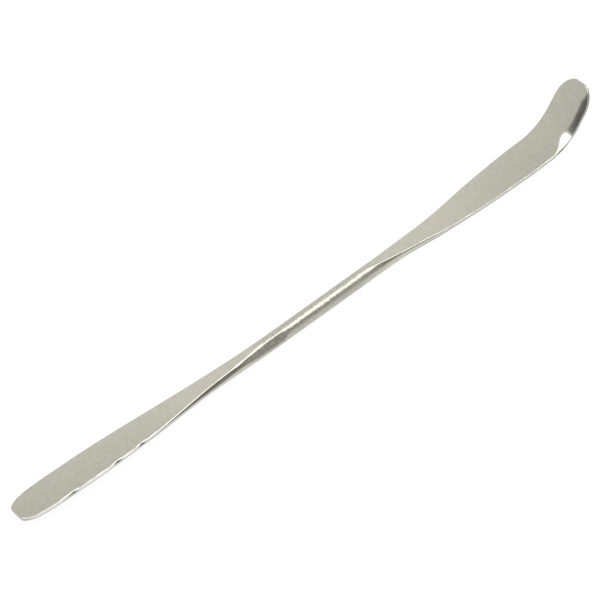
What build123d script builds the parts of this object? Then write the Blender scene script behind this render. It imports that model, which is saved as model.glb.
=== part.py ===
from build123d import *
import os
from math import cos, radians, sin

# Double-ended sculpting spatula, forged in one piece from a round steel bar.
# X runs along the bar towards the turned-up end, Z is square to the blades,
# and the origin lies under the middle of the length, on the surface the tool lies on.
# All lengths are in millimetres and all angles in degrees.

# The round bar, with a narrow flat along its underside that the tool lies on
LENGTH = 200.0
BAR_RADIUS = 2.2
BAR_LEFT = -18.0
BAR_RIGHT = 22.0
FLAT_DEPTH = 0.05
BAR_HEIGHT = BAR_RADIUS - FLAT_DEPTH

# The straight blade, at the -X end, which rises slightly from the bar's line
STRAIGHT_THICKNESS = 1.25
STRAIGHT_HALF_WIDTH = 4.5
STRAIGHT_RISE = 2.3
STRAIGHT_FLARE = (-24.0, -80.0)
STRAIGHT_RAMP = (-12.0, -61.0)
STRAIGHT_TIP_LENGTH = 10.0
STRAIGHT_TIP_POWER = 3.5

# The turned-up blade, at the +X end, which dips at its neck and then rises slightly
BENT_THICKNESS = 1.05
BENT_NECK_HALF_WIDTH = 4.5
BENT_HALF_WIDTH = 5.65
BENT_NECK = (44.0, -0.85)
BENT_DIP = (30.0, 49.0)
BENT_RISE = 2.4
BENT_FLARE = (22.0, 72.0)
BENT_TOP_RAMP = (12.0, 52.0)
BENT_BOTTOM_RAMP = (18.0, 68.0)
BEND_ANGLE = 54.0
BEND_RADIUS = 14.0
LEG_LENGTH = 10.5
BENT_TIP_LENGTH = 8.0
BENT_TIP_POWER = 2.5

# The hammered faces start this far from the bar's axis, outside the bar
RAMP_HEIGHT = 2.4
# The flat at the very end of a tip, as a depth taken off the rounded outline
TIP_BLUNTING = 0.12
# How far the hammered faces are drawn past the tips before they are trimmed to the outline
OVERRUN = 1.0
SECTION_STEP = 4.0
# Where the cross-sections of a tip stand, as shares of the tip's length
TIP_STATIONS = (0.75, 0.5, 0.3, 0.16, 0.06)


def smooth_rise(position, start, end):
    """Go from 0 at start to 1 at end, level at both ends."""
    share = (position - start) / (end - start)
    share = min(1.0, max(0.0, share))
    return share * share * (3.0 - 2.0 * share)


def tip_width(distance_left, tip_length, power):
    """Return the share of the full width at a distance from the rounded end."""
    depth = max(0.0, 1.0 - distance_left / tip_length)
    return (1.0 - depth**power) ** (1.0 / power)


def section(centre, slope, half_width):
    """Return an oval cross-section of the bar, square to its centre line."""
    plane = Plane(
        origin=(centre[0], 0.0, centre[1]),
        x_dir=(0.0, 1.0, 0.0),
        z_dir=(cos(radians(slope)), 0.0, sin(radians(slope))),
    )
    return plane * Ellipse(half_width, BAR_RADIUS)


def spaced(start, end):
    """Return even stations from start to end, about one section step apart."""
    count = max(1, round(abs(end - start) / SECTION_STEP))
    return [start + (end - start) * step / count for step in range(count + 1)]


# ---- the straight blade ----
# Its own line runs along -X from the bar's left end, then the whole blade is tilted up.

STRAIGHT_END = -LENGTH / 2.0


def straight_half_width(x):
    """Return half the straight blade's width, square to X."""
    flare = smooth_rise(x, *STRAIGHT_FLARE)
    width = BAR_RADIUS + (STRAIGHT_HALF_WIDTH - BAR_RADIUS) * flare
    return width * tip_width(x - STRAIGHT_END, STRAIGHT_TIP_LENGTH, STRAIGHT_TIP_POWER)


def tilted(x, z):
    """Turn a point of the straight blade up about the bar's left end."""
    rise = radians(STRAIGHT_RISE)
    along = x - BAR_LEFT
    return (
        BAR_LEFT + along * cos(rise) + z * sin(rise),
        z * cos(rise) - along * sin(rise),
    )


def straight_body():
    """Make the straight blade's oval bar, before its faces are flattened."""
    tip_start = STRAIGHT_END + STRAIGHT_TIP_LENGTH
    stations = spaced(BAR_LEFT, tip_start)
    stations += [STRAIGHT_END + share * STRAIGHT_TIP_LENGTH for share in TIP_STATIONS]
    stations.append(STRAIGHT_END + TIP_BLUNTING)
    sections = []
    for x in stations:
        slope = 0.0 if x == BAR_LEFT else -STRAIGHT_RISE
        sections.append(section(tilted(x, 0.0), slope, straight_half_width(x)))
    return loft(sections)


# ---- the turned-up blade ----
# Its stations count like X up to the bend, and then along the blade's own line.

RISE = radians(BENT_RISE)
TURNED = radians(BENT_RISE + BEND_ANGLE)
BEND_LENGTH = BEND_RADIUS * radians(BEND_ANGLE)
BEND_START = BENT_NECK[0] + (
    LENGTH / 2.0
    - BENT_NECK[0]
    - BENT_THICKNESS / 2.0 * sin(TURNED)
    - LEG_LENGTH * cos(TURNED)
    - BEND_RADIUS * (sin(TURNED) - sin(RISE))
) / cos(RISE)
BEND_END = BEND_START + BEND_LENGTH
BENT_END = BEND_END + LEG_LENGTH


def bent_half_width(station):
    """Return half the turned-up blade's width at a station."""
    neck = smooth_rise(station, *BENT_FLARE) * (BENT_NECK_HALF_WIDTH - BAR_RADIUS)
    spread = smooth_rise(station, BENT_FLARE[0], BEND_END) * (BENT_HALF_WIDTH - BENT_NECK_HALF_WIDTH)
    width = BAR_RADIUS + neck + spread
    return width * tip_width(BENT_END - station, BENT_TIP_LENGTH, BENT_TIP_POWER)


def bent_slope(station):
    """Return the angle of the turned-up blade's line above level."""
    turned = min(1.0, max(0.0, (station - BEND_START) / BEND_LENGTH))
    return BENT_RISE + BEND_ANGLE * turned


def bent_point(station, height=0.0):
    """Return the point this far above the turned-up blade's line."""
    slope = radians(bent_slope(station))
    before_bend = min(station, BEND_START) - BENT_NECK[0]
    past_bend = max(0.0, station - BEND_END)
    x = BENT_NECK[0] + before_bend * cos(RISE) + past_bend * cos(slope)
    z = BENT_NECK[1] + before_bend * sin(RISE) + past_bend * sin(slope)
    x += BEND_RADIUS * (sin(slope) - sin(RISE)) - height * sin(slope)
    z += BEND_RADIUS * (cos(RISE) - cos(slope)) + height * cos(slope)
    return (x, z)


def bent_body():
    """Make the turned-up blade's oval bar, before its faces are flattened."""
    stations = spaced(BAR_RIGHT, BEND_START)
    stations += spaced(BEND_START, BEND_END)[1:]
    stations += spaced(BEND_END, BENT_END - BENT_TIP_LENGTH)[1:]
    stations += [BENT_END - share * BENT_TIP_LENGTH for share in TIP_STATIONS]
    stations.append(BENT_END - TIP_BLUNTING)
    sections = []
    for station in stations:
        x, z = bent_point(station)
        dip = smooth_rise(station, *BENT_DIP)
        centre = (station + (x - station) * dip, z * dip)
        sections.append(section(centre, bent_slope(station) * dip, bent_half_width(station)))
    return loft(sections)


# ---- the hammered faces ----


def ramp(head, foot, foot_rise):
    """Return a curve that leaves the bar level and meets the blade at its slope."""
    reach = (foot[0] - head[0]) / 3.0
    drop = reach * sin(foot_rise) / cos(foot_rise)
    return Bezier(head, (head[0] + reach, head[1]), (foot[0] - reach, foot[1] - drop), foot)


def face_line(side):
    """Draw one face of the tool from the side, from tip to tip: 1 is up, -1 is down."""
    straight_half = side * STRAIGHT_THICKNESS / 2.0
    bent_half = side * BENT_THICKNESS / 2.0
    bent_ramp = BENT_TOP_RAMP if side > 0 else BENT_BOTTOM_RAMP
    straight_end = tilted(STRAIGHT_END - OVERRUN, straight_half)
    straight_foot = tilted(STRAIGHT_RAMP[1], straight_half)
    straight_head = (STRAIGHT_RAMP[0], side * RAMP_HEIGHT)
    bent_head = (bent_ramp[0], side * RAMP_HEIGHT)
    bent_foot = bent_point(bent_ramp[1], bent_half)
    bend = [bent_point(BEND_START + BEND_LENGTH * share, bent_half) for share in (0.0, 0.5, 1.0)]
    bent_end = bent_point(BENT_END + OVERRUN, bent_half)
    return [
        Line(straight_end, straight_foot),
        ramp(straight_head, straight_foot, -radians(STRAIGHT_RISE)),
        Line(straight_head, bent_head),
        ramp(bent_head, bent_foot, RISE),
        Line(bent_foot, bend[0]),
        ThreePointArc(*bend),
        Line(bend[2], bent_end),
    ]


def side_profile():
    """Draw the space between the tool's upper and lower faces."""
    upper = face_line(1.0)
    lower = face_line(-1.0)
    straight_end = Line(upper[0] @ 0, lower[0] @ 0)
    bent_end = Line(upper[-1] @ 1, lower[-1] @ 1)
    return Plane.XZ * make_face(Wire([*upper, *lower, straight_end, bent_end]))


def round_bar():
    """Make the bar between the two blades, along X."""
    bar = Cylinder(BAR_RADIUS, BAR_RIGHT - BAR_LEFT, align=(Align.CENTER, Align.CENTER, Align.MIN))
    return Pos(BAR_LEFT, 0, 0) * Rot(0, 90, 0) * bar


def above_flat():
    """Make the space above the flat that the tool lies on."""
    centred = (Align.CENTER, Align.CENTER, Align.MIN)
    return Pos(0, 0, -BAR_HEIGHT) * Box(2 * LENGTH, LENGTH, LENGTH, align=centred)


def spatula():
    """Make the whole tool, lying on Z = 0."""
    body = round_bar() + straight_body() + bent_body()
    between_faces = extrude(side_profile(), amount=2 * BENT_HALF_WIDTH, both=True)
    return Pos(0, 0, BAR_HEIGHT) * (body & between_faces & above_flat())


os.makedirs("parts", exist_ok=True)
export_step(spatula(), "parts/spatula.step")
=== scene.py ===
import math
import bpy
from mathutils import Matrix, Vector, noise


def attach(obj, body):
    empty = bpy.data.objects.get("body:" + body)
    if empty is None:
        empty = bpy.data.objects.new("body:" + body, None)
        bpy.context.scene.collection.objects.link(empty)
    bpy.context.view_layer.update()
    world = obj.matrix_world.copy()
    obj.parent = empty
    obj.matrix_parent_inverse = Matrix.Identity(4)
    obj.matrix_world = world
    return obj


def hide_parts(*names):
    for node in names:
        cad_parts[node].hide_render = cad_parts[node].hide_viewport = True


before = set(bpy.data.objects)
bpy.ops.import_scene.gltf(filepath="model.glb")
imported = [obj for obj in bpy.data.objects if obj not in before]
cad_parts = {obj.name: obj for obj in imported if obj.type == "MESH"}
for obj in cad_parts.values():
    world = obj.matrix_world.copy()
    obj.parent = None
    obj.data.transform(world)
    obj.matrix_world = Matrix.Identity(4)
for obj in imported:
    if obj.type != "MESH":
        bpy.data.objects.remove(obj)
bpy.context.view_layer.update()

# The tool is drawn in millimetres, in the same frame as the CAD model, and stored in metres.
MM = 0.001

# The round bar, with a narrow flat along its underside
LENGTH = 200.0
BAR_RADIUS = 2.2
BAR_LEFT = -18.0
FLAT_DEPTH = 0.05
BAR_HEIGHT = BAR_RADIUS - FLAT_DEPTH

# The straight blade, at the -X end
STRAIGHT_THICKNESS = 1.25
STRAIGHT_HALF_WIDTH = 4.5
STRAIGHT_RISE = math.radians(2.3)
STRAIGHT_FLARE = (-24.0, -80.0)
STRAIGHT_RAMP = (-14.0, -61.0)
STRAIGHT_RAMP_HEIGHT = 2.3
STRAIGHT_TIP_LENGTH = 14.0
STRAIGHT_TIP_POWER = (3.1, 3.2)
STRAIGHT_TIP_BLUNTING = 0.5

# The turned-up blade, at the +X end
BENT_THICKNESS = 1.05
BENT_NECK_HALF_WIDTH = 4.5
BENT_HALF_WIDTH = 5.65
BENT_NECK = (44.0, -0.85)
BENT_DIP = (30.0, 49.0)
BENT_RISE = math.radians(2.4)
BENT_FLARE = (24.0, 72.0)
BENT_TOP_RAMP = (12.0, 52.0)
BENT_BOTTOM_RAMP = (18.0, 68.0)
BEND_ANGLE = math.radians(54.0)
BEND_RADIUS = 14.0
LEG_LENGTH = 10.6
BENT_TIP_LENGTH = 8.0
BENT_TIP_POWER = (2.25, 2.1)
BENT_TIP_BLUNTING = 0.4
BENT_RAMP_HEIGHT = 2.4

# The edges, eased by handling, and the last bit of each tip, where the blade gets thinner
EDGE_SOFTNESS = 0.035
EASED_EDGE_TILT = math.radians(17.0)
STRAIGHT_EASED_WIDTH = 0.16
BENT_EASED_WIDTH = 0.09
UNDERSIDE_EASED_WIDTH = 0.8
MOST_EASED_SHARE = 0.6
TIP_EASING = 0.35
TIP_WEAR = 0.9
TIP_THINNING = 0.35

# How unevenly the edges run: by what share they drift, and over what length
OUTLINE_DRIFT = 0.008
OUTLINE_DRIFT_LENGTH = 9.0
OUTLINE_DRIFT_SEED = 7.0
EASED_DRIFT = 1.1
EASED_DRIFT_LENGTH = 3.0
LEAST_EASED_SHARE = 0.05

# The slanted faces that hammering left beside the straight blade's neck, on the near side, and
# the stations between which each comes in and fades out
NECK_FACE_TILT = math.radians(40.0)
NECK_UNDERFACE_TILT = math.radians(58.0)
NECK_HEAD_DEPTH = 0.13
NECK_FOOT_DEPTH = 0.25
NECK_UNDERFACE_DEPTH = 0.2
NECK_START = (-10.5, -13.5)
NECK_END = (-42.0, -62.0)
NECK_HEAD_END = (-18.0, -30.0)
NECK_FOOT_START = (-26.0, -38.0)
NECK_BULGE = 0.3
NECK_BULGE_END = (-22.0, -44.0)

# The shallower one beside the other neck
BENT_NECK_FACE_DEPTH = 0.12
BENT_NECK_FACE_START = (16.0, 24.0)
BENT_NECK_FACE_END = (38.0, 46.0)

# The bevel worn round the near side of the bend and up the leg, in three flats. Its start and its
# narrowing are counted from the bend's start and end, and its fading back from the tip.
BEVEL_WIDTH = 3.0
BEVEL_TILT = math.radians(10.0)
OUTER_BEVEL_SHARE = 0.4
OUTER_BEVEL_TILT = math.radians(19.0)
BEVEL_RIM_WIDTH = 0.16
BEVEL_RIM_TILT = math.radians(50.0)
BEVEL_START = (2.0, 8.5)
BEVEL_NARROWING = 0.28
BEVEL_NARROWED_BEFORE = 1.0
BEVEL_FADING = (0.5, 4.8)

# The nicks in the straight blade's near edge
NICK_LENGTH = 1.6
NICK_DEPTH = 0.22
NICKS = (-85.5, -71.0, -62.8)

# The straight half leaves the bar's line in a soft kink
KINK_LENGTH = 2.0

# The mesh
RING_POINTS = 192
STATION_STEP = 0.7
TIP_STEPS = 26

# The mesh's own record of how far above the tool's line each point lies, which the steel reads
HEIGHT_ATTRIBUTE = "height_in_section"

# A soft cut counts as sharp this many softnesses past its limit, and as none this many short of it
SHARP_PAST = 20.0
NONE_SHORT_OF = 8.0

# What brings the noise to values within about 1
NOISE_GAIN = 1.6


def smooth_rise(position, start, end):
    """Go from 0 at start to 1 at end, level at both ends."""
    share = min(1.0, max(0.0, (position - start) / (end - start)))
    return share * share * (3.0 - 2.0 * share)


def within(position, start, end):
    """Go from 0 to 1 over the start's range, and back to 0 over the end's."""
    return smooth_rise(position, *start) * (1.0 - smooth_rise(position, *end))


def soft_excess(excess, softness):
    """Return how far a value is over its limit, turning smoothly from 0 at the limit."""
    if excess > SHARP_PAST * softness:
        return excess
    return softness * math.log1p(math.exp(excess / softness))


def tip_width(distance_left, tip_length, power):
    """Return the share of the full width at a distance from the rounded end."""
    depth = min(1.0, max(0.0, 1.0 - distance_left / tip_length))
    return (1.0 - depth**power) ** (1.0 / power)


def wobble(station, wavelength, seed):
    """Return an uneven value about 0, within about 1, that drifts along the tool."""
    return noise.noise(Vector((station / wavelength, seed, 0.0))) * NOISE_GAIN


# ---- the line of the tool ----
# A station is a place along the tool: like X up to the bend, and along the blade after it.

TURNED = BENT_RISE + BEND_ANGLE
BEND_LENGTH = BEND_RADIUS * BEND_ANGLE
STRAIGHT_END = -LENGTH / 2.0
BEND_START = BENT_NECK[0] + (
    LENGTH / 2.0
    - BENT_NECK[0]
    - BENT_THICKNESS / 2.0 * math.sin(TURNED)
    - LEG_LENGTH * math.cos(TURNED)
    - BEND_RADIUS * (math.sin(TURNED) - math.sin(BENT_RISE))
) / math.cos(BENT_RISE)
BEND_END = BEND_START + BEND_LENGTH
BENT_END = BEND_END + LEG_LENGTH


def straight_line(station):
    """Return the centre of the straight half, which rises towards its tip."""
    past_bar = BAR_LEFT - station
    rise = math.tan(STRAIGHT_RISE) * soft_excess(past_bar, KINK_LENGTH)
    return station, rise


def bent_line(station):
    """Return the centre of the other half: bar, dipped neck, rising blade, bend and leg."""
    turned = min(1.0, max(0.0, (station - BEND_START) / BEND_LENGTH))
    slope = BENT_RISE + BEND_ANGLE * turned
    before_bend = min(station, BEND_START) - BENT_NECK[0]
    past_bend = max(0.0, station - BEND_END)
    x = BENT_NECK[0] + before_bend * math.cos(BENT_RISE) + past_bend * math.cos(slope)
    z = BENT_NECK[1] + before_bend * math.sin(BENT_RISE) + past_bend * math.sin(slope)
    x += BEND_RADIUS * (math.sin(slope) - math.sin(BENT_RISE))
    z += BEND_RADIUS * (math.cos(BENT_RISE) - math.cos(slope))
    dip = smooth_rise(station, *BENT_DIP)
    return station + (x - station) * dip, z * dip


def line_point(station):
    """Return the X and Z of the tool's line, measured from the bar's middle."""
    return straight_line(station) if station < 0.0 else bent_line(station)


def line_slope(station):
    """Return the angle at which the tool's line rises."""
    step = 0.25
    before = line_point(station - step)
    after = line_point(station + step)
    return math.atan2(after[1] - before[1], after[0] - before[0])


# ---- the shape of a cross-section ----


def half_width(station, side):
    """Return the tool's width on its near (0) or far (1) side, out from the middle."""
    if station < 0.0:
        flare = smooth_rise(station, *STRAIGHT_FLARE) * (STRAIGHT_HALF_WIDTH - BAR_RADIUS)
        left = station - STRAIGHT_END + STRAIGHT_TIP_BLUNTING
        return (BAR_RADIUS + flare) * tip_width(left, STRAIGHT_TIP_LENGTH, STRAIGHT_TIP_POWER[side])
    flare = smooth_rise(station, *BENT_FLARE) * (BENT_NECK_HALF_WIDTH - BAR_RADIUS)
    spread = smooth_rise(station, BENT_FLARE[0], BEND_END) * (BENT_HALF_WIDTH - BENT_NECK_HALF_WIDTH)
    left = BENT_END - station + BENT_TIP_BLUNTING
    return (BAR_RADIUS + flare + spread) * tip_width(left, BENT_TIP_LENGTH, BENT_TIP_POWER[side])


def ramp_height(x, head, foot, foot_slope):
    """Return the height of a hammered ramp that leaves head level and meets foot at its slope."""
    share = (x - head[0]) / (foot[0] - head[0])
    rest = 1.0 - share
    pull = foot[1] - (foot[0] - head[0]) / 3.0 * foot_slope
    level = (rest**3 + 3.0 * rest**2 * share) * head[1]
    return level + 3.0 * rest * share**2 * pull + share**3 * foot[1]


def tip_easing(distance_left):
    """Return how much of the thickness is worn off an edge near a tip's end."""
    depth = max(0.0, 1.0 - distance_left / TIP_EASING)
    return 1.0 - math.sqrt(1.0 - depth * depth * TIP_WEAR)


def face_height(station, side):
    """Return the height of the upper (1) or lower (-1) hammered face above the tool's line."""
    x, line_z = line_point(station)
    if station < 0.0:
        thickness, ramp, slope = STRAIGHT_THICKNESS, STRAIGHT_RAMP, -math.tan(STRAIGHT_RISE)
        head_height = STRAIGHT_RAMP_HEIGHT
        past_foot = station < ramp[1]
        before_head = station > ramp[0]
        distance_left = station - STRAIGHT_END
    else:
        ramp = BENT_TOP_RAMP if side > 0 else BENT_BOTTOM_RAMP
        thickness, slope = BENT_THICKNESS, math.tan(BENT_RISE)
        head_height = BENT_RAMP_HEIGHT
        past_foot = station > ramp[1]
        before_head = station < ramp[0]
        distance_left = BENT_END - station
    if past_foot:
        return side * thickness / 2.0 * (1.0 - TIP_THINNING * tip_easing(distance_left))
    if before_head:
        return side * head_height - line_z
    foot_x, foot_line_z = line_point(ramp[1])
    foot = (foot_x, foot_line_z + side * thickness / 2.0)
    return ramp_height(x, (ramp[0], side * head_height), foot, slope) - line_z


def neck_share(station):
    """Return how far the slanted faces beside the straight blade's neck are hammered."""
    return within(station, NECK_START, NECK_END)


def neck_bulge(station):
    """Return how far hammering has spread the near side of the straight blade's neck."""
    return NECK_BULGE * neck_share(station) * (1.0 - smooth_rise(station, *NECK_BULGE_END))


def eased_width(station, side):
    """Return how wide the eased upper edge is, which is uneven along the tool."""
    width = STRAIGHT_EASED_WIDTH if station < 0.0 else BENT_EASED_WIDTH
    drift = EASED_DRIFT * wobble(station, EASED_DRIFT_LENGTH, side)
    return width * max(LEAST_EASED_SHARE, 1.0 + drift)


def bevel_width(station):
    """Return the width of the bevel worn round the near side of the bend and up the leg."""
    past_start = station - BEND_START
    begun = smooth_rise(past_start, *BEVEL_START)
    narrowing = smooth_rise(past_start, BEVEL_START[1], BEND_LENGTH - BEVEL_NARROWED_BEFORE)
    left = smooth_rise(BENT_END - station, *BEVEL_FADING)
    return BEVEL_WIDTH * begun * (1.0 - BEVEL_NARROWING * narrowing) * left


def nick_depth(station, nick):
    """Return a nick's depth, full over its length and fading over half as much at each end."""
    return NICK_DEPTH * min(1.0, 2.0 - 2.0 * abs(station - nick) / NICK_LENGTH)


def corner_of(width, height):
    """Return how far out an oval section reaches at a height."""
    return width * math.sqrt(max(0.0, 1.0 - (height / BAR_RADIUS) ** 2))


def flat_through(side, up, across, height, tilt):
    """Return a flat through a point, tilted outwards from the upper (1) or lower (-1) face."""
    outwards, upwards = math.sin(tilt), math.cos(tilt)
    return side * outwards, up * upwards, across * outwards + height * upwards


def flat_cut_into(side, up, width, height, tilt, depth):
    """Return a flat cut this deep into an oval section that ends in a face at a height."""
    outwards, upwards = math.sin(tilt), math.cos(tilt)
    reach = math.hypot(width * outwards, BAR_RADIUS * upwards)
    if BAR_RADIUS**2 * upwards / reach > height:
        reach = corner_of(width, height) * outwards + height * upwards
    return side * outwards, up * upwards, reach - depth


def bevel_flats(station, corner, top):
    """Return the bevel's flats, each steeper than the one inside it."""
    width = bevel_width(station)
    outer_width = width * OUTER_BEVEL_SHARE
    drop = (width - outer_width) * math.tan(BEVEL_TILT)
    inner = flat_through(-1.0, 1.0, corner - width, top, BEVEL_TILT)
    outer = flat_through(-1.0, 1.0, corner - outer_width, top - drop, OUTER_BEVEL_TILT)
    rim_width = min(BEVEL_RIM_WIDTH, outer_width)
    drop += (outer_width - rim_width) * math.tan(OUTER_BEVEL_TILT)
    rim = flat_through(-1.0, 1.0, corner - rim_width, top - drop, BEVEL_RIM_TILT)
    return [inner, outer, rim]


def near_side_flats(station, width, top, bottom):
    """Return the flats that only the near side has: beside the necks, nicks and the bevel."""
    neck = neck_share(station)
    head = 1.0 - smooth_rise(station, *NECK_HEAD_END)
    foot = smooth_rise(station, *NECK_FOOT_START)
    depths = [nick_depth(station, nick) for nick in NICKS]
    depths.append(BENT_NECK_FACE_DEPTH * within(station, BENT_NECK_FACE_START, BENT_NECK_FACE_END))
    depths.append(neck * (NECK_HEAD_DEPTH * head + NECK_FOOT_DEPTH * foot))
    flats = [
        flat_cut_into(-1.0, 1.0, width, top, NECK_FACE_TILT, depth)
        for depth in depths
        if depth > 0.0
    ]
    if neck > 0.0:
        depth = NECK_UNDERFACE_DEPTH * neck * foot
        flats.append(flat_cut_into(-1.0, -1.0, width, -bottom, NECK_UNDERFACE_TILT, depth))
    if bevel_width(station) > 0.0:
        flats.extend(bevel_flats(station, corner_of(width, top), top))
    return flats


def section_flats(station, widths, top, bottom):
    """Return the flats cut on a section, as (direction across, direction up, distance)."""
    flats = [(0.0, 1.0, top), (0.0, -1.0, -bottom)]
    for side, width in ((-1.0, widths[0]), (1.0, widths[1])):
        for up, height in ((1.0, top), (-1.0, -bottom)):
            if height < BAR_RADIUS:
                corner = corner_of(width, height)
                inset = eased_width(station, side) if up > 0.0 else UNDERSIDE_EASED_WIDTH
                inset = min(inset, corner * MOST_EASED_SHARE)
                flats.append(flat_through(side, up, corner - inset, height, EASED_EDGE_TILT))
    return flats + near_side_flats(station, widths[0], top, bottom)


def section_points(station):
    """Return one ring of points round the tool, and each one's height above the tool's line."""
    drift = 1.0 + OUTLINE_DRIFT * wobble(station, OUTLINE_DRIFT_LENGTH, OUTLINE_DRIFT_SEED)
    widths = [half_width(station, side) * drift for side in (0, 1)]
    x, line_z = line_point(station)
    slope = line_slope(station)
    top = face_height(station, 1.0)
    bottom = max(face_height(station, -1.0), -BAR_HEIGHT - line_z)
    flats = section_flats(station, widths, top, bottom)
    bulge = neck_bulge(station)
    ring = []
    heights = []
    for step in range(RING_POINTS):
        angle = 2.0 * math.pi * step / RING_POINTS
        width = widths[1] if math.cos(angle) > 0.0 else widths[0] + bulge
        across = width * math.cos(angle)
        up = BAR_RADIUS * math.sin(angle)
        for outwards, upwards, reach in flats:
            over = across * outwards + up * upwards - reach
            if over < -NONE_SHORT_OF * EDGE_SOFTNESS:
                continue
            cut = soft_excess(over, EDGE_SOFTNESS)
            across -= cut * outwards
            up -= cut * upwards
        ring.append((
            (x - up * math.sin(slope)) * MM,
            across * MM,
            (line_z + up * math.cos(slope) + BAR_HEIGHT) * MM,
        ))
        heights.append(up)
    return ring, heights


def tip_distances(length, power):
    """Return distances from a rounded end, closer together where its outline turns."""
    distances = []
    for step in range(1, TIP_STEPS):
        turn = math.pi / 2.0 * step / TIP_STEPS
        distances.append(length * (1.0 - math.cos(turn) ** (2.0 / power)))
    return distances


def stations():
    """Return the stations of all rings, closer together at the rounded tips."""
    straight_tip = tip_distances(STRAIGHT_TIP_LENGTH, STRAIGHT_TIP_POWER[1])
    bent_tip = tip_distances(BENT_TIP_LENGTH, BENT_TIP_POWER[1])
    left_tip = [STRAIGHT_END + distance for distance in straight_tip]
    right_tip = [BENT_END - distance for distance in bent_tip]
    start = STRAIGHT_END + STRAIGHT_TIP_LENGTH
    end = BENT_END - BENT_TIP_LENGTH
    count = round((end - start) / STATION_STEP)
    middle = [start + (end - start) * step / count for step in range(count + 1)]
    return left_tip + middle + right_tip[::-1]


def forging():
    """Make the whole tool as one smooth closed mesh."""
    rings = [section_points(station) for station in stations()]
    vertices = [point for ring, _ in rings for point in ring]
    heights = [height for _, ring_heights in rings for height in ring_heights]
    faces = []
    for row in range(len(rings) - 1):
        for step in range(RING_POINTS):
            here = row * RING_POINTS + step
            beside = row * RING_POINTS + (step + 1) % RING_POINTS
            faces.append((here, beside, beside + RING_POINTS, here + RING_POINTS))
    last = (len(rings) - 1) * RING_POINTS
    faces.append(tuple(range(RING_POINTS - 1, -1, -1)))
    faces.append(tuple(range(last, last + RING_POINTS)))
    mesh = bpy.data.meshes.new("spatula_forging")
    mesh.from_pydata(vertices, [], faces)
    mesh.attributes.new(HEIGHT_ATTRIBUTE, "FLOAT", "POINT").data.foreach_set("value", heights)
    mesh.shade_smooth()
    tool = bpy.data.objects.new("spatula_forging", mesh)
    bpy.context.collection.objects.link(tool)
    return tool


# ---- materials ----
# Lengths here are in metres, and places are the mesh's own X and Y.

# The steel's tones
STEEL_TONE = (0.515, 0.50, 0.435)
MOTTLE_TONE = (0.455, 0.435, 0.37)
SPECK_TONE = (0.16, 0.16, 0.15)
# A painted highlight on faces that slant to the near side
BEVEL_HIGHLIGHT_TONE = (0.8, 0.79, 0.75)
# A painted highlight on the blades' upper flanks, and painted shade on their lower flanks
FLANK_HIGHLIGHT_TONE = (0.88, 0.87, 0.83)
FLANK_SHADE_TONE = (0.22, 0.22, 0.21)

# How fine the noises are
CLOUD_SCALE = 110.0
DENT_SCALE = 850.0
MOTTLE_SCALE = 1000.0
SPECK_SCALE = 2100.0
PITTING_SCALE = 2600.0
BRUSHING_SCALE = 9000.0
BRUSHING_STRETCH = (0.06, 1.0, 1.0)

# Ramps: from one place, slant or noise value, to another, and the two shares that belong to them.
# The plain tone's brightness, by distance from the middle, by Y, and the rest by X:
BRIGHTER_BESIDE_BAR = (0.014, 0.026, 1.0, 1.12)
BRIGHTER_FAR_SIDE = (-0.004, 0.005, 0.97, 1.05)
DARKER_STRAIGHT_BLADE = (-0.065, -0.042, 0.9, 1.0)
DARKER_BENT_BLADE = (0.045, 0.078, 1.0, 0.84)
DARKER_STRAIGHT_TIP = (-0.1, -0.07, 0.93, 1.0)
# The bar's own looks, and where the blades' painted highlight and shade begin, by distance from the
# middle:
BAR_SPECKED = (0.016, 0.024, 1.0, 0.0)
BAR_ROUGHER = (0.016, 0.026, 1.5, 1.0)
BAR_DENTED = (0.018, 0.03, 0.9, 0.03)
ON_BLADES = (0.03, 0.05, 0.0, 1.0)
# The painted highlight on the bevels: faces that slant to the near side, but not steep ones, weaker
# at the straight blade's tip and along the second blade:
BEVEL_SLANT = (-0.26, -0.12, 0.7, 0.0)
STEEP_SLANT = (-0.6, -0.4, 0.0, 1.0)
BEVEL_TIP = (-0.098, -0.084, 0.2, 1.0)
FROM_BENT_BLADE_MIDDLE = (0.0, 0.08, -0.04, 0.04)
BEVEL_OFF_BENT_BLADE = (0.03, 0.038, 0.35, 1.0)
# The flanks' painted light: faces that look sideways, with a painted highlight above and painted
# shade
# below, the highlight less bright towards the bar and on the second blade:
FLANK_SLANT = (0.82, 0.94, 0.0, 1.0)
FLANK_BRIGHT = (-0.07, -0.055, 1.0, 0.3)
UPPER_FLANK = (0.02, 0.12, 0.0, 1.0)
LOWER_FLANK = (0.02, 0.12, 1.0, 0.0)
# The noises:
MOTTLES = (0.3, 0.7, 0.0, 1.0)
SPECKS = (0.52, 0.72, 0.0, 0.6)
ROUGHNESS = (0.3, 0.7, 0.15, 0.23)

# How strong and how high the relief is
DENT_HEIGHT = 0.00015
BRUSHING_STRENGTH = 0.12
BRUSHING_HEIGHT = 0.00004
PITTING_STRENGTH = 0.2
PITTING_HEIGHT = 0.00006

# The floor
FLOOR_TONE = (0.1, 0.1, 0.1, 1.0)
FLOOR_GLOW = 0.92


def add_node(tree, kind, **values):
    """Add a node and set its named inputs."""
    made = tree.nodes.new(kind)
    for name, value in values.items():
        made.inputs[name.replace("_", " ")].default_value = value
    return made


def noise_node(tree, coordinates, scale, detail=3.0, roughness=0.5):
    """Add a noise that is finer for a greater scale."""
    made = add_node(tree, "ShaderNodeTexNoise", Scale=scale, Detail=detail, Roughness=roughness)
    tree.links.new(coordinates, made.inputs["Vector"])
    return made.outputs["Fac"]


def ranged(tree, value, low, high, new_low, new_high):
    """Map a value from one range to another."""
    made = tree.nodes.new("ShaderNodeMapRange")
    made.inputs["From Min"].default_value = low
    made.inputs["From Max"].default_value = high
    made.inputs["To Min"].default_value = new_low
    made.inputs["To Max"].default_value = new_high
    tree.links.new(value, made.inputs["Value"])
    return made.outputs["Result"]


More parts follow.
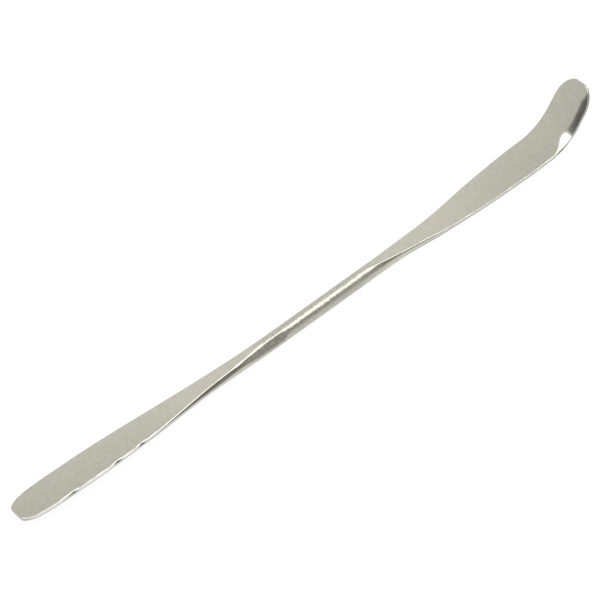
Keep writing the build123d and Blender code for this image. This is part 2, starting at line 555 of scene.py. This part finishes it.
def product(tree, first, second):
    """Multiply two values."""
    made = tree.nodes.new("ShaderNodeMath")
    made.operation = "MULTIPLY"
    tree.links.new(first, made.inputs[0])
    tree.links.new(second, made.inputs[1])
    return made.outputs["Value"]


def size_of(tree, value):
    """Return a value without its sign."""
    made = tree.nodes.new("ShaderNodeMath")
    made.operation = "ABSOLUTE"
    tree.links.new(value, made.inputs[0])
    return made.outputs["Value"]


def split_vector(tree, vector):
    """Return a vector's X, Y and Z."""
    made = tree.nodes.new("ShaderNodeSeparateXYZ")
    tree.links.new(vector, made.inputs["Vector"])
    return made.outputs["X"], made.outputs["Y"], made.outputs["Z"]


def towards_tone(tree, colour, tone, share):
    """Blend a colour towards a plain tone by a share from 0 to 1."""
    made = tree.nodes.new("ShaderNodeMix")
    made.data_type = "RGBA"
    made.inputs["B"].default_value = (*tone, 1.0)
    tree.links.new(colour, made.inputs["A"])
    tree.links.new(share, made.inputs["Factor"])
    return made.outputs["Result"]


def bump(tree, height, strength, distance, under=None):
    """Roughen the surface by a height, over another bump if there is one."""
    made = add_node(tree, "ShaderNodeBump", Distance=distance)
    if isinstance(strength, float):
        made.inputs["Strength"].default_value = strength
    else:
        tree.links.new(strength, made.inputs["Strength"])
    tree.links.new(height, made.inputs["Height"])
    if under:
        tree.links.new(under, made.inputs["Normal"])
    return made.outputs["Normal"]


def mottled_steel(tree, place):
    """Colour the steel in soft lighter and darker mottles."""
    light = tree.nodes.new("ShaderNodeRGB")
    light.outputs[0].default_value = (*STEEL_TONE, 1.0)
    mottle = noise_node(tree, place, MOTTLE_SCALE, detail=4.0, roughness=0.6)
    return towards_tone(tree, light.outputs[0], MOTTLE_TONE, ranged(tree, mottle, *MOTTLES))


def tone_by_place(tree, tone, place):
    """Brighten a tone beside the bar and on the far side, and darken it on the blades."""
    x, y, _ = split_vector(tree, place)
    beside_bar = ranged(tree, size_of(tree, x), *BRIGHTER_BESIDE_BAR)
    share = product(tree, beside_bar, ranged(tree, y, *BRIGHTER_FAR_SIDE))
    for darkening in (DARKER_STRAIGHT_BLADE, DARKER_BENT_BLADE, DARKER_STRAIGHT_TIP):
        share = product(tree, share, ranged(tree, x, *darkening))
    scaled = tree.nodes.new("ShaderNodeVectorMath")
    scaled.operation = "SCALE"
    tree.links.new(tone, scaled.inputs[0])
    tree.links.new(share, scaled.inputs["Scale"])
    return scaled.outputs["Vector"]


def specked_bar(tree, tone, place, along):
    """Fleck a tone with dark specks on the bar."""
    speck = noise_node(tree, place, SPECK_SCALE, detail=3.0, roughness=0.7)
    share = product(tree, ranged(tree, along, *BAR_SPECKED), ranged(tree, speck, *SPECKS))
    return towards_tone(tree, tone, SPECK_TONE, share)


def painted_bevel_highlight(tree, tone, x, on_blades, facing_side):
    """Paint a highlight on the near side's bevels, brightening the tone on faces that slant towards
    it.
    """
    share = product(tree, ranged(tree, facing_side, *BEVEL_SLANT), on_blades)
    share = product(tree, share, ranged(tree, facing_side, *STEEP_SLANT))
    share = product(tree, share, ranged(tree, x, *BEVEL_TIP))
    from_bent_blade = size_of(tree, ranged(tree, x, *FROM_BENT_BLADE_MIDDLE))
    share = product(tree, share, ranged(tree, from_bent_blade, *BEVEL_OFF_BENT_BLADE))
    return towards_tone(tree, tone, BEVEL_HIGHLIGHT_TONE, share)


def painted_flank_light(tree, tone, x, on_blades, facing_side):
    """Paint a highlight on the blades' upper flanks, and paint shade on the lower ones."""
    height = tree.nodes.new("ShaderNodeAttribute")
    height.attribute_name = HEIGHT_ATTRIBUTE
    flank = product(tree, ranged(tree, size_of(tree, facing_side), *FLANK_SLANT), on_blades)
    upper = ranged(tree, height.outputs["Fac"], *UPPER_FLANK)
    lower = ranged(tree, height.outputs["Fac"], *LOWER_FLANK)
    highlight = product(tree, flank, ranged(tree, x, *FLANK_BRIGHT))
    tone = towards_tone(tree, tone, FLANK_HIGHLIGHT_TONE, product(tree, highlight, upper))
    return towards_tone(tree, tone, FLANK_SHADE_TONE, product(tree, flank, lower))


def steel_tone(tree, place, normal):
    """Colour the steel: mottled, brighter beside the bar, with a painted highlight on near-facing
    bevels and upper flanks, and painted shade on the lower flanks.
    """
    x = split_vector(tree, place)[0]
    along = size_of(tree, x)
    facing_side = split_vector(tree, normal)[1]
    on_blades = ranged(tree, along, *ON_BLADES)
    tone = mottled_steel(tree, place)
    tone = tone_by_place(tree, tone, place)
    tone = specked_bar(tree, tone, place, along)
    # painted highlight on faces that slant to the near side
    tone = painted_bevel_highlight(tree, tone, x, on_blades, facing_side)
    # painted highlight on the upper flanks, painted shade on the lower ones
    return painted_flank_light(tree, tone, x, on_blades, facing_side)


def steel_relief(tree, place, along):
    """Roughen the steel: dented on the bar, brushed lengthways and finely pitted all over."""
    stretch = add_node(tree, "ShaderNodeMapping", Scale=BRUSHING_STRETCH)
    tree.links.new(place, stretch.inputs["Vector"])
    brushing = noise_node(tree, stretch.outputs["Vector"], BRUSHING_SCALE, detail=2.0)
    pitting = noise_node(tree, place, PITTING_SCALE, detail=3.0)
    dents = noise_node(tree, place, DENT_SCALE, detail=3.0, roughness=0.6)
    relief = bump(tree, dents, ranged(tree, along, *BAR_DENTED), DENT_HEIGHT)
    relief = bump(tree, brushing, BRUSHING_STRENGTH, BRUSHING_HEIGHT, relief)
    return bump(tree, pitting, PITTING_STRENGTH, PITTING_HEIGHT, relief)


def bare_steel():
    """Make bare steel: finely tumbled blades and a rougher bar, lightly brushed lengthways."""
    material = bpy.data.materials.new("bare_steel")
    material.use_nodes = True
    tree = material.node_tree
    shader = tree.nodes["Principled BSDF"]
    shader.inputs["Metallic"].default_value = 1.0
    coordinates = tree.nodes.new("ShaderNodeTexCoord")
    place = coordinates.outputs["Object"]
    along = size_of(tree, split_vector(tree, place)[0])
    cloud = noise_node(tree, place, CLOUD_SCALE, detail=2.0)
    roughness = product(tree, ranged(tree, cloud, *ROUGHNESS), ranged(tree, along, *BAR_ROUGHER))
    tone = steel_tone(tree, place, coordinates.outputs["Normal"])
    tree.links.new(tone, shader.inputs["Base Color"])
    tree.links.new(roughness, shader.inputs["Roughness"])
    tree.links.new(steel_relief(tree, place, along), shader.inputs["Normal"])
    return material


def pale_floor():
    """Make a plain white floor lit from within, like a photographer's light table."""
    material = bpy.data.materials.new("pale_floor")
    material.use_nodes = True
    shader = material.node_tree.nodes["Principled BSDF"]
    shader.inputs["Base Color"].default_value = FLOOR_TONE
    shader.inputs["Roughness"].default_value = 1.0
    shader.inputs["Specular IOR Level"].default_value = 0.0
    shader.inputs["Emission Color"].default_value = (1.0, 1.0, 1.0, 1.0)
    shader.inputs["Emission Strength"].default_value = FLOOR_GLOW
    return material


# ---- the studio ----
# Lengths are in metres. What surrounds the floor is white, but for three shades that the steel
# mirrors: each has a direction, the angles from it between which it fades, and its own grey.

FRONT_SHADE = ((0.43, -0.85, 0.3), 48.0, 66.0, 0.66)
DARK_GAP_FOR_NECKS = ((0.42, -0.67, 0.61), 5.0, 12.0, 0.19)
DARK_GAP_FOR_LEG = ((-0.95, -0.06, 0.30), 9.0, 26.0, 0.1)

FLOOR_HALF_SIZE = 6.0
FLOOR_DROP = 0.00002

SOFT_BOX_LENGTH = 1.15
SOFT_BOX_WIDTH = 0.36
SOFT_BOX_POWER = 2.35
SOFT_BOX_PLACE = (0.04, -0.065, 0.5)

CAMERA_AZIMUTH = math.radians(-41.55)
CAMERA_ELEVATION = math.radians(49.8)
CAMERA_ROLL = math.radians(-1.47)
CAMERA_DISTANCE = 0.7233
CAMERA_LENS = 164.92
CAMERA_SHIFT = (-0.0252, 0.0171)


def studio_floor():
    """Lay the floor just under the tool."""
    size = FLOOR_HALF_SIZE
    corners = [(-size, -size, 0.0), (size, -size, 0.0), (size, size, 0.0), (-size, size, 0.0)]
    mesh = bpy.data.meshes.new("studio_floor")
    mesh.from_pydata(corners, [], [(0, 1, 2, 3)])
    mesh.materials.append(pale_floor())
    floor = bpy.data.objects.new("studio_floor", mesh)
    bpy.context.collection.objects.link(floor)
    floor.location.z = -FLOOR_DROP


def shade_around(tree, direction, colour, towards, inner, outer, shade):
    """Blend the surroundings to a grey round one direction, softly between two angles."""
    dot = tree.nodes.new("ShaderNodeVectorMath")
    dot.operation = "DOT_PRODUCT"
    dot.inputs[1].default_value = Vector(towards).normalized()
    tree.links.new(direction, dot.inputs[0])
    cap = tree.nodes.new("ShaderNodeMapRange")
    cap.interpolation_type = "SMOOTHSTEP"
    cap.inputs["From Min"].default_value = math.cos(math.radians(outer))
    cap.inputs["From Max"].default_value = math.cos(math.radians(inner))
    tree.links.new(dot.outputs["Value"], cap.inputs["Value"])
    return towards_tone(tree, colour, (shade, shade, shade), cap.outputs["Result"])


def surroundings():
    """Make a pale studio room, greyer in front, with two dark gaps."""
    world = bpy.data.worlds.new("studio_room")
    world.use_nodes = True
    tree = world.node_tree
    background = tree.nodes["Background"]
    direction = tree.nodes.new("ShaderNodeTexCoord").outputs["Generated"]
    room = tree.nodes.new("ShaderNodeRGB")
    room.outputs[0].default_value = (1.0, 1.0, 1.0, 1.0)
    colour = room.outputs[0]
    for shade in (FRONT_SHADE, DARK_GAP_FOR_NECKS, DARK_GAP_FOR_LEG):
        colour = shade_around(tree, direction, colour, *shade)
    tree.links.new(colour, background.inputs["Color"])
    bpy.context.scene.world = world


def soft_box():
    """Hang one long soft light over the tool."""
    data = bpy.data.lights.new("soft_box", "AREA")
    data.shape = "RECTANGLE"
    data.size = SOFT_BOX_LENGTH
    data.size_y = SOFT_BOX_WIDTH
    data.energy = SOFT_BOX_POWER
    light = bpy.data.objects.new("soft_box", data)
    light.location = SOFT_BOX_PLACE
    bpy.context.collection.objects.link(light)


def camera():
    """Look down at the tool from the straight blade's side, rolled slightly."""
    level = math.cos(CAMERA_ELEVATION)
    right = Vector((math.cos(CAMERA_AZIMUTH), math.sin(CAMERA_AZIMUTH), 0.0))
    back = Vector((
        math.sin(CAMERA_AZIMUTH) * level,
        -math.cos(CAMERA_AZIMUTH) * level,
        math.sin(CAMERA_ELEVATION),
    ))
    up = back.cross(right)
    rolled_right = right * math.cos(CAMERA_ROLL) + up * math.sin(CAMERA_ROLL)
    rolled_up = up * math.cos(CAMERA_ROLL) - right * math.sin(CAMERA_ROLL)
    bar_centre = Vector((0.0, 0.0, BAR_HEIGHT * MM))
    data = bpy.data.cameras.new("camera")
    data.sensor_width = 36.0
    data.lens = CAMERA_LENS
    data.shift_x, data.shift_y = CAMERA_SHIFT
    data.clip_start = 0.01
    data.clip_end = 50.0
    eye = bpy.data.objects.new("camera", data)
    turn = Matrix((rolled_right, rolled_up, back)).transposed().to_4x4()
    eye.matrix_world = Matrix.Translation(bar_centre + back * CAMERA_DISTANCE) @ turn
    bpy.context.collection.objects.link(eye)
    bpy.context.scene.camera = eye


tool = forging()
tool.data.materials.append(bare_steel())
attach(tool, "root")
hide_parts("spatula")

studio_floor()
surroundings()
soft_box()
camera()
bpy.context.scene.view_settings.view_transform = "Standard"
